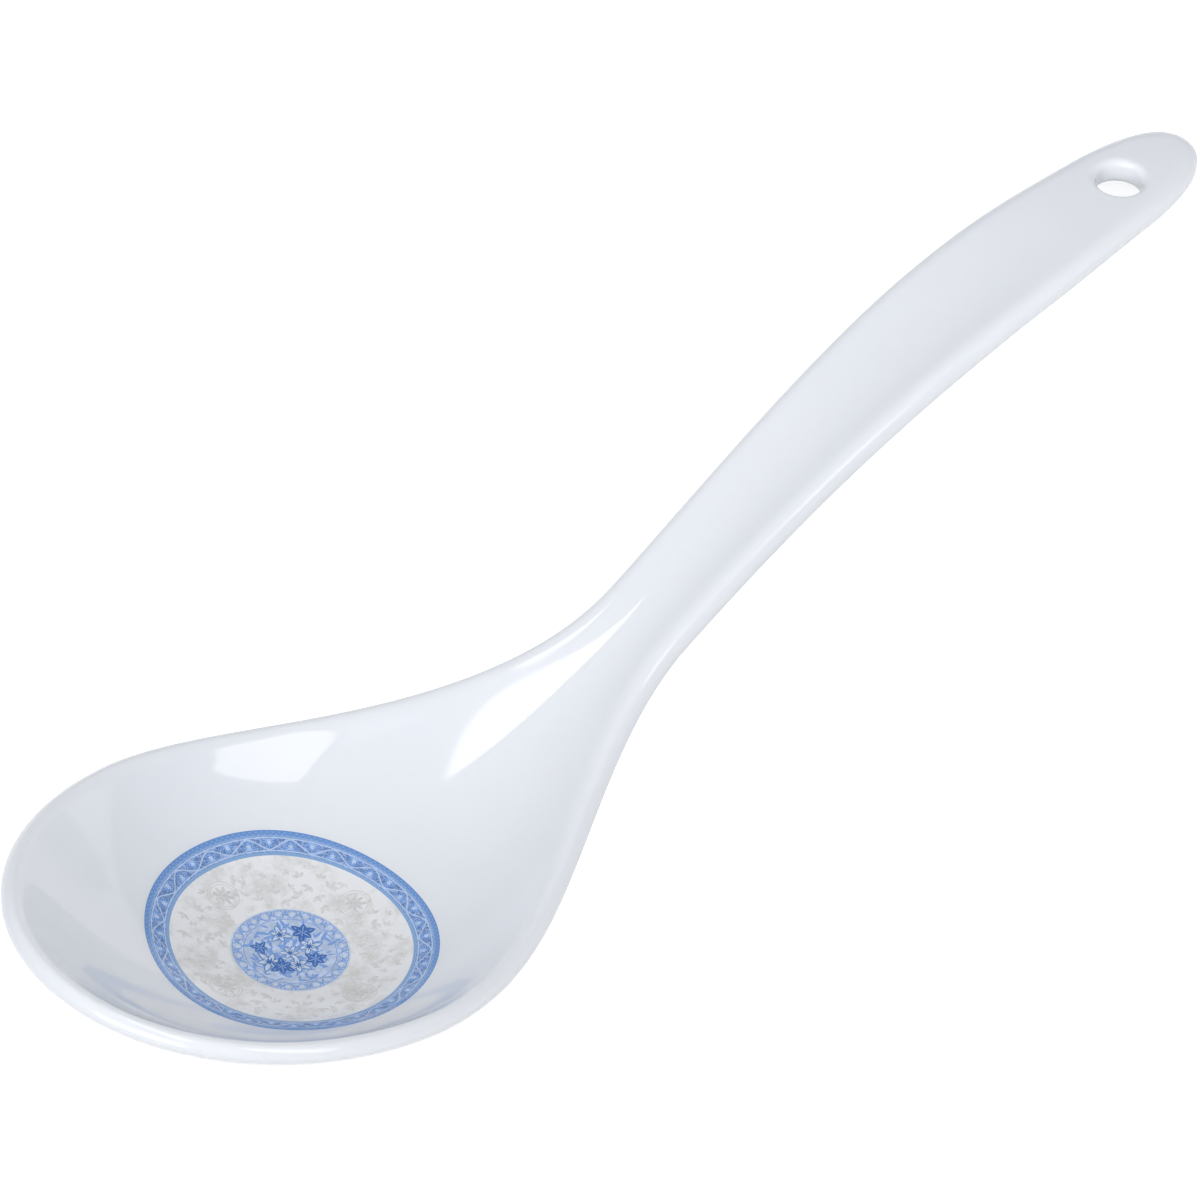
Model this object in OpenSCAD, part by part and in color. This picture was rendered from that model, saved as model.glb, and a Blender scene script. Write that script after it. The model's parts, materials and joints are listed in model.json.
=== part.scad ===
// Soup spoon pressed in one piece from white melamine, with a printed foil disc
// let into the floor of its bowl. All sizes are in millimetres.
//
// The spoon is set out level with the floor of the bowl: x runs from the rim at
// the front of the bowl to the tip of the handle, y across, z up from the floor.
// The rim line is where the eating face ends and the rounded edge begins. At the
// end the whole spoon is laid down as it rests on a table, on its bowl and its tip.

/* [Bowl] */
// Length of the rim line, from the front of the bowl to the tip of the handle
rim_len = 227; // [215:1:260]
// Width between the rim lines where the bowl is widest
mouth_w = 63.4; // [56:0.2:70]
// Length of the round front of the rim
front_round = 40.5; // [35:0.5:46]
// Where the rim starts to draw in towards the neck, from the front
shoulder_at = 38; // [32:0.5:43]
// Height of the rim above the floor at the front
front_h = 21.8; // [18:0.2:26]
// Angle at which the rim falls from the front towards the neck, in degrees
rim_fall = 9.8; // [6:0.1:12]
// Length of the curved wall between the front rim and the floor
front_wall_len = 52.4; // [46:0.2:58]
// Thickness of the bowl's wall
wall_t = 3.2; // [2.6:0.1:4]

/* [Neck] */
// Where the neck is narrowest, from the front
neck_at = 113.5; // [106:0.5:122]
// Width between the rim lines at the neck
neck_w = 7.8; // [5:0.2:10]
// Angle at which the neck climbs, in degrees
neck_climb = 30.8; // [27:0.1:35]
// Where the rim turns up into the neck, from the front
neck_bend_at = 79.6; // [74:0.2:88]
// Half the length of that bend
neck_bend_r = 40.8; // [32:0.2:46]
// Half the length of the bend where the floor turns up into the neck
floor_bend_r = 34; // [28:1:44]

/* [Handle] */
// Where the grip is widest, from the front
grip_at = 190; // [180:1:200]
// Width between the rim lines at the grip
grip_w = 12.6; // [10:0.2:15]
// Angle at which the grip climbs, in degrees
grip_climb = 5.5; // [2:0.1:9]
// Where the neck bends over into the grip, from the front
grip_bend_at = 165.5; // [158:0.5:172]
// Half the length of that bend
grip_bend_r = 54.6; // [46:0.2:60]
// Depth of the shallow dish along the grip
grip_dish = 0.8; // [0:0.1:1.2]
// Width between the rim lines where the tip starts to round off
tip_w = 9.4; // [7.6:0.2:11]
// Length of the round tip
tip_round = 15.7; // [12:0.1:20]
// Thickness of the handle
handle_t = 4.4; // [3.8:0.1:5.2]

/* [Hanging hole] */
// Diameter of the hole through the handle
hole_d = 7.5; // [5:0.1:9]
// From the tip end of the rim line to the middle of the hole
hole_from_tip = 12.5; // [11:0.5:18]
// Rounding of the hole's two edges
hole_edge_r = 1.2; // [0.4:0.1:1.2]

/* [Printed disc] */
// From the front of the rim line to the middle of the disc
foil_at = 43.5; // [40:0.5:46]
// Diameter of the disc
foil_d = 43; // [36:0.5:46]
// Thickness of the foil's paper
foil_t = 0.2; // [0.1:0.05:0.4]
// Thickness of the print on the foil
ink_t = 0.1; // [0.05:0.05:0.2]
// Width of the dark line round the outside
edge_line_w = 0.9; // [0.5:0.1:1.4]
// Width of the border with the running vine
border_w = 2.3; // [1.6:0.1:3]
// Width of the line inside the border
inner_line_w = 0.5; // [0.3:0.1:0.8]
// Diameter of the medallion in the middle
medallion_d = 17.6; // [14:0.2:20]
// Width of the ring round the medallion
medallion_ring_w = 2.1; // [1.4:0.1:3]

/* [Hidden] */

// Exponents of the rounded outlines and sections; two gives an ellipse
front_power_share = 2.02;
tip_power_share = 2.15;
edge_power_share = 2.8;
// Exponent that shapes the bowl's cross section, and that of its front wall
dish_power_share = 2.7;
wall_power_share = 2.6;
// How late the mouth draws in along the shoulder; one is even
shoulder_skew_share = 1.09;
// How far the rounded edge stands out from the rim line, of the thickness there
edge_reach_share = 0.77;
// Where along the neck the mesh of the bowl hands over to that of the handle
join_share = 0.72;
// Where the slope beside the rim line is taken, just inside it
inset_share = 0.985;
// Rows of the mesh between the disc and the rim line, densest at the rim
row_shares = [0, 0.22, 0.43, 0.62, 0.78, 0.9, 1];
// Rings of the mesh under the disc
under_shares = [1, 0.75, 0.5, 0.25];
// Steps of the mesh: along the bowl, along the handle, across it and round its edge
bowl_steps = 30;
handle_steps = 36;
across_steps = 8;
edge_steps = 9;
arc_steps = 5;
// Length over which a slope is measured, and the least width that is divided by
probe = 0.05;
hair = 0.001;
// How far a cutter runs past what it cuts
overrun = 1;

side_steps = bowl_steps + handle_steps;
outline_count = 2 * side_steps;
ring_count = 2 * bowl_steps + across_steps;
join_at = join_share * neck_at;
foil_r = foil_d / 2;
medallion_r = medallion_d / 2;
pocket_t = foil_t + ink_t;
fall = tan(rim_fall);
climb = tan(neck_climb);
level_off = climb - tan(grip_climb);
// The floor meets the rim's climb so that the dish along the grip has its depth
floor_bend_at = (grip_dish - front_h + (climb + fall) * neck_bend_at) / climb;

// The edges of the printed areas, from the middle outwards
ring_r = medallion_r - medallion_ring_w;
edge_line_r = foil_r - edge_line_w;
border_r = edge_line_r - border_w;
inner_line_r = border_r - inner_line_w;

// A smooth step from 0 to 1, and a straight line that starts with a smooth bend
function ease(t) = let (u = min(max(t, 0), 1)) u * u * (3 - 2 * u);
function bend(u, r) =
    u >= r ? u : u <= -r ? 0 : let (t = (u + r) / (2 * r)) 2 * r * (pow(t, 3) - pow(t, 4) / 2);
function unit(v) = v / norm(v);
function bulge(s, power) = pow(max(1 - pow(max(1 - s, 0), power), 0), 1 / power);

// Half the width between the rim lines
function shoulder(x) = min(max((x - shoulder_at) / (neck_at - shoulder_at), 0), 1);
function half_w(x) =
    (neck_w
        + (mouth_w - neck_w) * (1 - ease(pow(shoulder(x), shoulder_skew_share)))
        + (grip_w - neck_w) * ease((x - neck_at) / (grip_at - neck_at))
        - (grip_w - tip_w) * ease((x - grip_at) / (rim_len - grip_at))) / 2
    * bulge(max(x, 0) / front_round, front_power_share)
    * bulge(max(rim_len - x, 0) / tip_round, tip_power_share);

// Height of the rim line, and of the eating face along the middle
function edge_h(x) =
    front_h - fall * x + (climb + fall) * bend(x - neck_bend_at, neck_bend_r)
    - level_off * bend(x - grip_bend_at, grip_bend_r);
function floor_h(x) =
    front_h * pow(max(1 - x / front_wall_len, 0), wall_power_share)
    + climb * bend(x - floor_bend_at, floor_bend_r)
    - level_off * bend(x - grip_bend_at, grip_bend_r)
    + grip_dish * ease((x - grip_bend_at) / (rim_len - tip_round - grip_bend_at));

// Height of the eating face anywhere, its normal, and the thickness under it
function eat_h(x, y) =
    let (
        edge = edge_h(x),
        u = min(abs(y) / max(half_w(x), hair), 1),
        c = pow(min(max(floor_h(x) / edge, 0), 1), 2 / dish_power_share)
    )
    edge * pow(c + (1 - c) * u * u, dish_power_share / 2);
function eat_normal(x, y) =
    unit([
        (eat_h(x - probe, y) - eat_h(x + probe, y)) / (2 * probe),
        (eat_h(x, y - probe) - eat_h(x, y + probe)) / (2 * probe),
        1
    ]);
function thickness(x) = wall_t + (handle_t - wall_t) * ease(shoulder(x));
function eat_point(p) = [p.x, p.y, eat_h(p.x, p.y)];
function under_point(p) = eat_point(p) - thickness(p.x) * eat_normal(p.x, p.y);

// The rim line seen from above: from the front along one side to the tip, and back
side_x = [
    for (i = [0:bowl_steps]) join_at * (1 - cos(90 * i / bowl_steps)),
    for (i = [1:handle_steps]) join_at + (rim_len - join_at) * sin(90 * i / handle_steps),
];
rim_plan = [
    for (i = [0:side_steps]) [side_x[i], half_w(side_x[i])],
    for (i = [side_steps - 1:-1:1]) [side_x[i], -half_w(side_x[i])],
];

// The face's normal at the rim, and the way out from it, square to that normal
function inset_point(p) =
    let (middle = [min(max(p.x, front_round), rim_len - tip_round), 0])
    middle + (p - middle) * inset_share;
rim_normal = [for (p = rim_plan) let (q = inset_point(p)) eat_normal(q.x, q.y)];
rim_out = [
    for (i = [0:outline_count - 1])
        let (
            along = rim_plan[(i + 1) % outline_count]
                - rim_plan[(i + outline_count - 1) % outline_count],
            out = [-along.y, along.x, 0]
        )
        unit(out - (out * rim_normal[i]) * rim_normal[i])
];

// The rounded edge, in rows from the eating face round to the underside
function edge_point(i, a) =
    let (
        p = rim_plan[i],
        t = thickness(p.x),
        c = cos(a),
        lift = sign(c) * pow(abs(c), 2 / edge_power_share) - 1,
        reach = pow(abs(sin(a)), 2 / edge_power_share)
    )
    eat_point(p) + t / 2 * lift * rim_normal[i] + edge_reach_share * t * reach * rim_out[i];
edge_rows = [
    for (j = [0:edge_steps])
        [for (i = [0:outline_count - 1]) edge_point(i, 180 * j / edge_steps)]
];

// A row across the handle at one step along it, closed by the edge's own points
function across_plan(j, k) =
    let (x = side_x[bowl_steps + j])
    [x, half_w(x) * (1 - 2 * k / across_steps)];
function across_row(j, rim, face) = [
    rim[bowl_steps + j],
    for (k = [1:across_steps - 1]) face ? eat_point(across_plan(j, k)) : under_point(across_plan(j, k)),
    rim[outline_count - bowl_steps - j],
];

// The bowl's own ring: the rim line as far as the neck, closed by the first row across
bowl_plan = [
    for (i = [0:bowl_steps]) rim_plan[i],
    for (k = [1:across_steps - 1]) across_plan(0, k),
    for (i = [outline_count - bowl_steps:outline_count - 1]) rim_plan[i],
];
function bowl_ring(rim, face) = [
    for (i = [0:bowl_steps - 1]) rim[i],
    each across_row(0, rim, face),
    for (i = [outline_count - bowl_steps + 1:outline_count - 1]) rim[i],
];
ray = [for (p = bowl_plan) atan2(p.y, p.x - foil_at)];
function circle_plan(i, r) = [foil_at + r * cos(ray[i]), r * sin(ray[i])];
function row_plan(s) = [
    for (i = [0:ring_count - 1])
        let (p = circle_plan(i, foil_r)) p + (bowl_plan[i] - p) * row_shares[s]
];
last_row = len(row_shares) - 1;

// A ring of the eating face round the middle of the disc, set down by a depth
function disc_ring(r, depth) = [
    for (i = [0:ring_count - 1]) eat_point(circle_plan(i, r)) - [0, 0, depth]
];
function disc_pole(depth) = eat_point([foil_at, 0]) - [0, 0, depth];
function radii_between(from, to, count) = [for (i = [0:count]) from + (to - from) * i / count];
function all_but_first(list) = [for (i = [1:len(list) - 1]) list[i]];
centre_radii = all_but_first(radii_between(0, ring_r, 4));
ring_radii = radii_between(ring_r, medallion_r, 2);
field_radii = radii_between(medallion_r, inner_line_r, 5);
inner_line_radii = [inner_line_r, border_r];
border_radii = radii_between(border_r, edge_line_r, 2);
edge_line_radii = [edge_line_r, foil_r];
foil_radii = [
    each centre_radii,
    each all_but_first(ring_radii),
    each all_but_first(field_radii),
    each all_but_first(inner_line_radii),
    each all_but_first(border_radii),
    each all_but_first(edge_line_radii),
];

// Rows of the body: the bowl's, from the middle of the pocket round to the underside
pocket_rows = [for (r = foil_radii) disc_ring(r, pocket_t)];
face_rows = [
    for (s = [0:last_row - 1]) [for (p = row_plan(s)) eat_point(p)],
    bowl_ring(edge_rows[0], true),
];
under_rows = [
    bowl_ring(edge_rows[edge_steps], false),
    for (s = [last_row - 1:-1:1]) [for (p = row_plan(s)) under_point(p)],
    for (u = under_shares) [for (i = [0:ring_count - 1]) under_point(circle_plan(i, foil_r * u))],
];
under_pole = under_point([foil_at, 0]);
handle_top_rows = [for (j = [0:handle_steps - 1]) across_row(j, edge_rows[0], true)];
handle_under_rows = [for (j = [0:handle_steps - 1]) across_row(j, edge_rows[edge_steps], false)];

// Triangles between rows of one mesh, whose first point has the number given
function quad(a, b, c, d, flip) = flip ? [[a, d, b], [b, d, c]] : [[a, d, c], [a, c, b]];
function turned(faces) = [for (f = faces) [f[2], f[1], f[0]]];
function ring_faces(first, rows, n) = [
    for (r = [0:rows - 2], i = [0:n - 1])
        let (j = (i + 1) % n, a = first + r * n)
        each quad(a + i, a + j, a + n + j, a + n + i, i >= n / 2)
];
function strip_faces(first, rows, n) = [
    for (r = [0:rows - 2], i = [0:n - 2])
        let (a = first + r * n)
        each quad(a + i, a + i + 1, a + n + i + 1, a + n + i, i >= (n - 1) / 2)
];
function fan_out(pole, first, n) = [for (i = [0:n - 1]) [pole, first + i, first + (i + 1) % n]];
function fan_in(pole, first, n) = [for (i = [0:n - 1]) [first + i, pole, first + (i + 1) % n]];
function tip_fan(pole, first, n) = [for (i = [0:n - 2]) [first + i, pole, first + i + 1]];
function flat_list(rows) = [for (row = rows) each row];

// A disc or a ring of the foil or of its print, between two depths
module disc_sheet(radii, top, bottom) {
    rows = [
        for (r = radii) disc_ring(r, top),
        for (i = [len(radii) - 1:-1:0]) disc_ring(radii[i], bottom),
    ];
    points = flat_list(rows);
    n = len(points);
    polyhedron(
        points = [each points, disc_pole(top), disc_pole(bottom)],
        faces = [
            each ring_faces(0, len(rows), ring_count),
            each fan_out(n, 0, ring_count),
            each fan_in(n + 1, n - ring_count, ring_count),
        ]
    );
}

module ring_sheet(radii, top, bottom) {
    rows = [
        for (r = radii) disc_ring(r, top),
        for (i = [len(radii) - 1:-1:0]) disc_ring(radii[i], bottom),
        disc_ring(radii[0], top),
    ];
    polyhedron(points = flat_list(rows), faces = ring_faces(0, len(rows), ring_count));
}

// The moulding without its hole
bowl_rows = [each pocket_rows, each face_rows];
bowl_points = [each flat_list(bowl_rows), disc_pole(pocket_t)];
rim_points = flat_list(edge_rows);
under_points = [each flat_list(under_rows), under_pole];
tip_i = side_steps;
handle_top_points = [each flat_list(handle_top_rows), edge_rows[0][tip_i]];
handle_under_points = [each flat_list(handle_under_rows), edge_rows[edge_steps][tip_i]];
row_n = across_steps + 1;
rim_first = len(bowl_points);
under_first = rim_first + len(rim_points);
top_first = under_first + len(under_points);
low_first = top_first + len(handle_top_points);
last_top_row = top_first + (handle_steps - 1) * row_n;
last_low_row = low_first + (handle_steps - 1) * row_n;
body_points = [
    each bowl_points,
    each rim_points,
    each under_points,
    each handle_top_points,
    each handle_under_points,
];
body_faces = [
    each fan_out(rim_first - 1, 0, ring_count),
    each ring_faces(0, len(bowl_rows), ring_count),
    each ring_faces(rim_first, edge_steps + 1, outline_count),
    each ring_faces(under_first, len(under_rows), ring_count),
    each fan_in(top_first - 1, top_first - 1 - ring_count, ring_count),
    each strip_faces(top_first, handle_steps, row_n),
    each tip_fan(low_first - 1, last_top_row, row_n),
    each turned(strip_faces(low_first, handle_steps, row_n)),
    each turned(tip_fan(len(body_points) - 1, last_low_row, row_n)),
];

// The hole stands square to the handle where it goes through
hole_x = rim_len - hole_from_tip;
hole_t = thickness(hole_x);
hole_normal = eat_normal(hole_x, 0);
hole_tilt = atan2(hole_normal.x, hole_normal.z);
module hole_cutter() {
    r = hole_d / 2;
    far = r + hole_edge_r;
    arc = [
        for (i = [0:arc_steps])
            let (a = 90 + 90 * i / arc_steps)
            hole_edge_r * [cos(a), sin(a) - 1]
    ];
    translate(eat_point([hole_x, 0])) rotate([0, hole_tilt, 0]) rotate_extrude($fn = 64)
        polygon([
            [0, overrun],
            [far, overrun],
            for (p = arc) [far + p.x, p.y],
            for (i = [arc_steps:-1:0]) [far + arc[i].x, -hole_t - arc[i].y],
            [far, -hole_t - overrun],
            [0, -hole_t - overrun],
        ]);
}

// How the spoon lies: one straight line under it touches the bowl and the tip
tip_points = [for (row = edge_rows) row[tip_i]];
rest_slope = min([for (t = tip_points) max([for (b = under_points) (t.z - b.z) / (t.x - b.x)])]);
rest_tilt = atan(rest_slope);
function laid_x(p) = p.x * cos(rest_tilt) + p.z * sin(rest_tilt);
function laid_z(p) = p.z * cos(rest_tilt) - p.x * sin(rest_tilt);
laid_xs = [for (p = body_points) laid_x(p)];
rest_x = -(min(laid_xs) + max(laid_xs)) / 2;
rest_z = -min([for (p = body_points) laid_z(p)]);
module laid() {
    translate([rest_x, 0, rest_z]) rotate([0, rest_tilt, 0]) children();
}

module spoon_body() {
    color([0.91, 0.93, 0.97])
        laid() difference() {
            polyhedron(points = body_points, faces = body_faces);
            hole_cutter();
        }
}

module decal_foil() {
    color([0.88, 0.87, 0.84]) laid() disc_sheet(foil_radii, ink_t, pocket_t);
}

module edge_line_print() {
    color([0.27, 0.48, 0.76]) laid() ring_sheet(edge_line_radii, 0, ink_t);
}

module border_print() {
    color([0.52, 0.66, 0.87]) laid() ring_sheet(border_radii, 0, ink_t);
}

module inner_line_print() {
    color([0.4, 0.56, 0.8]) laid() ring_sheet(inner_line_radii, 0, ink_t);
}

module field_print() {
    color([0.85, 0.84, 0.82]) laid() ring_sheet(field_radii, 0, ink_t);
}

module medallion_ring_print() {
    color([0.62, 0.71, 0.88]) laid() ring_sheet(ring_radii, 0, ink_t);
}

module medallion_centre_print() {
    color([0.66, 0.75, 0.9]) laid() disc_sheet(centre_radii, 0, ink_t);
}

spoon_body();
decal_foil();
edge_line_print();
border_print();
inner_line_print();
field_print();
medallion_ring_print();
medallion_centre_print();
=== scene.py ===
"""A moulded melamine soup spoon with a printed disc under the glaze of its bowl.

The spoon is set out level with the floor of its bowl, as its moulder draws it: x from
the front rim to the tip of the handle, y across and z up. Node trees work out its face
from that rule, and each piece is then laid down as the spoon rests on a table.
"""

import json
import math
from types import SimpleNamespace

import bpy
from bpy.props import FloatProperty, FloatVectorProperty, IntProperty, PointerProperty
from mathutils import Matrix, Vector


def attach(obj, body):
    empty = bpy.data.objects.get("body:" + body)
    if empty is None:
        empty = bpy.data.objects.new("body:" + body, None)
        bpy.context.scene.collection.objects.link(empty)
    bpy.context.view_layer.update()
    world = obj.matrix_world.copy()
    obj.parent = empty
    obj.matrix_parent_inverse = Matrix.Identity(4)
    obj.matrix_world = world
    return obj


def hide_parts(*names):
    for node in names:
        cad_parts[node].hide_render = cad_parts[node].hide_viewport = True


bl_info = {
    "name": "Melamine Soup Spoon",
    "version": (1, 0, 0),
    "blender": (4, 5, 0),
    "location": "View3D > Sidebar > Soup Spoon",
    "description": "Builds a moulded soup spoon with a printed disc in its bowl",
    "category": "Add Mesh",
}

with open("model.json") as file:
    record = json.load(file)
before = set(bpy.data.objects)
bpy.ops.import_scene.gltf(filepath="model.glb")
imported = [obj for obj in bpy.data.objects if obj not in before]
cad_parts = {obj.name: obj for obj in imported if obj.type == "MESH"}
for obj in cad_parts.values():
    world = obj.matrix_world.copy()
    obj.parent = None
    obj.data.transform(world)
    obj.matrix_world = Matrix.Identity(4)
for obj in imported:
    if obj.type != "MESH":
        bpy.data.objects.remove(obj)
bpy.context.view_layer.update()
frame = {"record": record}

MM = 0.001
FULL_TURN = 2 * math.pi
SHARP_ANGLE = math.radians(40)
PROBE = 0.05 * MM


# Sizes and colours


def length(label, millimetres, description):
    return FloatProperty(
        name=label,
        description=description,
        default=millimetres * MM,
        min=0.0,
        unit="LENGTH",
        precision=5,
    )


def slope(label, degrees, description):
    return FloatProperty(
        name=label,
        description=description,
        default=math.radians(degrees),
        subtype="ANGLE",
    )


def plain(label, value, description):
    return FloatProperty(name=label, description=description, default=value, min=0.0)


def count(label, value, description):
    return IntProperty(name=label, description=description, default=value, min=1)


def colour(label, value, description):
    return FloatVectorProperty(
        name=label,
        description=description,
        default=value,
        size=3,
        min=0.0,
        max=1.0,
        subtype="COLOR",
    )


class SpoonFaceSizes(bpy.types.PropertyGroup):
    """Sizes of the eating face, which every piece follows."""

    rim_len: length("Rim length", 227, "From the front of the bowl to the tip")
    mouth_w: length("Mouth width", 63.4, "Between the rim lines at the widest")
    front_round: length("Front round", 40.5, "Length of the round front")
    front_power: plain("Front power", 2.02, "Exponent of the round front")
    shoulder_at: length("Shoulder at", 38, "Where the rim starts to draw in")
    shoulder_skew: plain("Shoulder skew", 1.09, "How late the rim draws in")
    front_h: length("Front height", 21.8, "Rim above the floor at the front")
    rim_fall: slope("Rim fall", 9.8, "Fall of the rim towards the neck")
    front_wall_len: length("Front wall length", 52.4, "From the front rim to the floor")
    wall_power: plain("Front wall power", 2.6, "Exponent of the front wall")
    dish_power: plain("Bowl power", 2.7, "Exponent of the bowl's cross section")
    neck_at: length("Neck at", 113.5, "Where the neck is narrowest")
    neck_w: length("Neck width", 7.8, "Between the rim lines at the neck")
    neck_climb: slope("Neck climb", 30.8, "Climb of the neck")
    neck_bend_at: length("Neck bend at", 79.6, "Where the rim turns up")
    neck_bend_r: length("Neck bend", 40.8, "Half the length of that bend")
    floor_bend_r: length("Floor bend", 34, "Half the length of the floor's bend")
    grip_at: length("Grip at", 190, "Where the grip is widest")
    grip_w: length("Grip width", 12.6, "Between the rim lines at the grip")
    grip_climb: slope("Grip climb", 5.5, "Climb of the grip")
    grip_bend_at: length("Grip bend at", 165.5, "Where the neck bends over")
    grip_bend_r: length("Grip bend", 54.6, "Half the length of that bend")
    grip_dish: length("Grip dish", 0.8, "Depth of the dish along the grip")
    tip_w: length("Tip width", 9.4, "Between the rim lines before the tip")
    tip_round: length("Tip round", 15.7, "Length of the round tip")
    tip_power: plain("Tip power", 2.15, "Exponent of the round tip")


class SpoonMouldingSizes(bpy.types.PropertyGroup):
    """Thickness, edge and hanging hole of the moulding, and the colour of its melamine."""

    wall_t: length("Wall thickness", 3.2, "Thickness of the bowl's wall")
    handle_t: length("Handle thickness", 4.4, "Thickness of the handle")
    edge_power: plain("Edge power", 2.8, "Exponent of the rounded edge")
    edge_reach: plain("Edge reach", 0.77, "Edge beyond the rim line, of the thickness")
    hole_r: length("Hole radius", 3.75, "Radius of the hanging hole")
    hole_from_tip: length("Hole from tip", 12.5, "From the tip to the hole's middle")
    hole_edge_r: length("Hole edge", 1.2, "Rounding of the hole's edges")
    side_steps: count("Steps along a side", 230, "Mesh steps from front to tip")
    face_steps: count("Steps across a side", 30, "Mesh steps from middle to rim")
    edge_steps: count("Steps round the edge", 24, "Mesh steps round the edge")
    melamine: colour("Melamine", (0.825, 0.846, 0.886), "Colour of the moulding")
    melamine_shade: colour("Melamine shade", (0.81, 0.832, 0.876), "Its faint clouding")


class SpoonPrintSizes(bpy.types.PropertyGroup):
    """Sizes, counts and colours of the printed disc."""

    foil_at: length("Disc at", 43.5, "From the front rim line to the disc's middle")
    foil_r: length("Disc radius", 21.5, "Radius of the disc")
    edge_line_r: length("Edge line inside", 20.6, "Inner radius of the edge line")
    border_r: length("Border inside", 18.3, "Inner radius of the vine border")
    inner_line_r: length("Inner line inside", 17.8, "Inner radius of the inner line")
    medallion_r: length("Medallion radius", 8.8, "Radius of the medallion")
    ring_r: length("Lace ring inside", 6.7, "Inner radius of the lace ring")
    ink_t: length("Ink thickness", 0.1, "Thickness of the printed layer")
    foil_t: length("Foil thickness", 0.2, "Thickness of the paper foil")
    round_steps: count("Steps round the disc", 240, "Mesh steps round the disc")
    relief: length("Relief", 0.05, "Height of the ornament's ink, half of it sunk")
    vine_waves: count("Vine waves", 19, "Waves of the border's running vine")
    vine_w: length("Vine width", 0.18, "Width of the vine's line")
    leaf_l: length("Leaf length", 1.05, "Length of the border's leaves")
    lace_loops: count("Lace loops", 24, "Loops of the lace ring")
    blossoms: count("Blossoms", 4, "Dark blossoms, and as many pale ones")
    blossom_r: length("Blossom radius", 1.8, "Radius of the medallion's blossoms")
    medallion_leaves: count("Medallion leaves", 110, "Leaves between its blossoms")
    rosettes: count("Rosettes", 4, "Faint rosettes of the field")
    rosette_r: length("Rosette radius", 2.4, "Radius of the field's rosettes")
    sprigs: count("Sprigs", 110, "Faint leaves strewn over the field")
    deep_blue: colour("Deep blue", (0.06, 0.18, 0.54), "Darkest ink")
    edge_blue: colour("Edge line blue", (0.1, 0.26, 0.62), "Ink of the edge line")
    line_blue: colour("Line blue", (0.13, 0.305, 0.7), "Ink of the lines")
    inner_blue: colour("Inner line blue", (0.2, 0.37, 0.67), "Ink of the inner line")
    lace_line: colour("Lace line blue", (0.25, 0.43, 0.86), "Ink of the lace")
    band_blue: colour("Band blue", (0.2, 0.39, 0.86), "Ground of the border")
    leaf_blue: colour("Leaf blue", (0.35, 0.535, 0.92), "Leaves of the border")
    pale_blue: colour("Pale blue", (0.54, 0.7, 0.96), "Vine and blossoms")
    light_blue: colour("Lightest blue", (0.7, 0.8, 0.93), "Petals and lace blossoms")
    lace_blue: colour("Lace blue", (0.57, 0.7, 0.95), "Ground of the lace ring")
    medallion_blue: colour("Medallion blue", (0.59, 0.72, 0.95), "Medallion's ground")
    field_grey: colour("Field grey", (0.85, 0.856, 0.878), "Ground of the field")
    field_mottle: colour("Field mottle", (0.675, 0.668, 0.65), "Mottles of the field")
    field_line: colour("Field line grey", (0.76, 0.757, 0.75), "Its faint rosettes")
    field_leaf: colour("Field leaf grey", (0.805, 0.805, 0.805), "Its fainter leaves")


class SpoonStudioSizes(bpy.types.PropertyGroup):
    """Where the camera stands and how strong the soft lights are."""

    azimuth: slope("Azimuth", -33.893, "Turn of the camera about the upright")
    elevation: slope("Elevation", 54.228, "Height of the camera over the table")
    roll: slope("Roll", -14.541, "Roll of the camera about its own axis")
    distance: length("Distance", 868.15, "From the camera to the point it looks at")
    lens: plain("Lens", 174.05, "Focal length in millimetres on a sensor 36 mm wide")
    side_power: plain("Side light", 0.58, "Watts of the soft box at the side")
    top_power: plain("Top light", 0.15, "Watts of the narrow soft box overhead")
    front_power: plain("Front light", 1.2, "Watts of the broad box by the camera")
    left_power: plain("Left light", 9.3, "Watts of the broad box past the bowl")
    tip_power: plain("Tip light", 0.0034, "Watts of the small box aimed at the hole")
    sky: plain("Sky", 0.54, "Strength of the even light all round")


FACE_KEYS = tuple(SpoonFaceSizes.__annotations__)
MOULDING_KEYS = (
    "wall_t handle_t edge_power edge_reach hole_r hole_edge_r side_steps face_steps"
    " edge_steps"
).split()
ORNAMENT_KEYS = (
    "foil_at relief border_r edge_line_r inner_line_r medallion_r ring_r vine_waves"
    " vine_w leaf_l lace_loops blossoms blossom_r medallion_leaves rosettes rosette_r"
    " sprigs"
).split()


def label_of(group, key):
    return group.bl_rna.properties[key].name


def numbers(group, keys):
    return {label_of(group, key): getattr(group, key) for key in keys}


# Numbers that are plain here and nodes in a tree

PLAIN_WORK = {
    "POWER": lambda a, b: a**b,
    "MINIMUM": min,
    "MAXIMUM": max,
    "ABSOLUTE": abs,
    "SINE": math.sin,
    "COSINE": math.cos,
    "TANGENT": math.tan,
}


class Field:
    """A number that the nodes of a tree work out at each point."""

    def __init__(self, tree, socket):
        self.tree = tree
        self.socket = socket

    def __add__(self, other):
        return work("ADD", self, other)

    __radd__ = __add__

    def __sub__(self, other):
        return work("SUBTRACT", self, other)

    def __rsub__(self, other):
        return work("SUBTRACT", other, self)

    def __mul__(self, other):
        return work("MULTIPLY", self, other)

    __rmul__ = __mul__

    def __truediv__(self, other):
        return work("DIVIDE", self, other)

    def __rtruediv__(self, other):
        return work("DIVIDE", other, self)


def feed(tree, value, socket):
    """Links a field or a socket to an input, or sets a plain value on it."""
    if isinstance(value, Field):
        tree.links.new(value.socket, socket)
    elif isinstance(value, bpy.types.NodeSocket):
        tree.links.new(value, socket)
    else:
        socket.default_value = value


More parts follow.
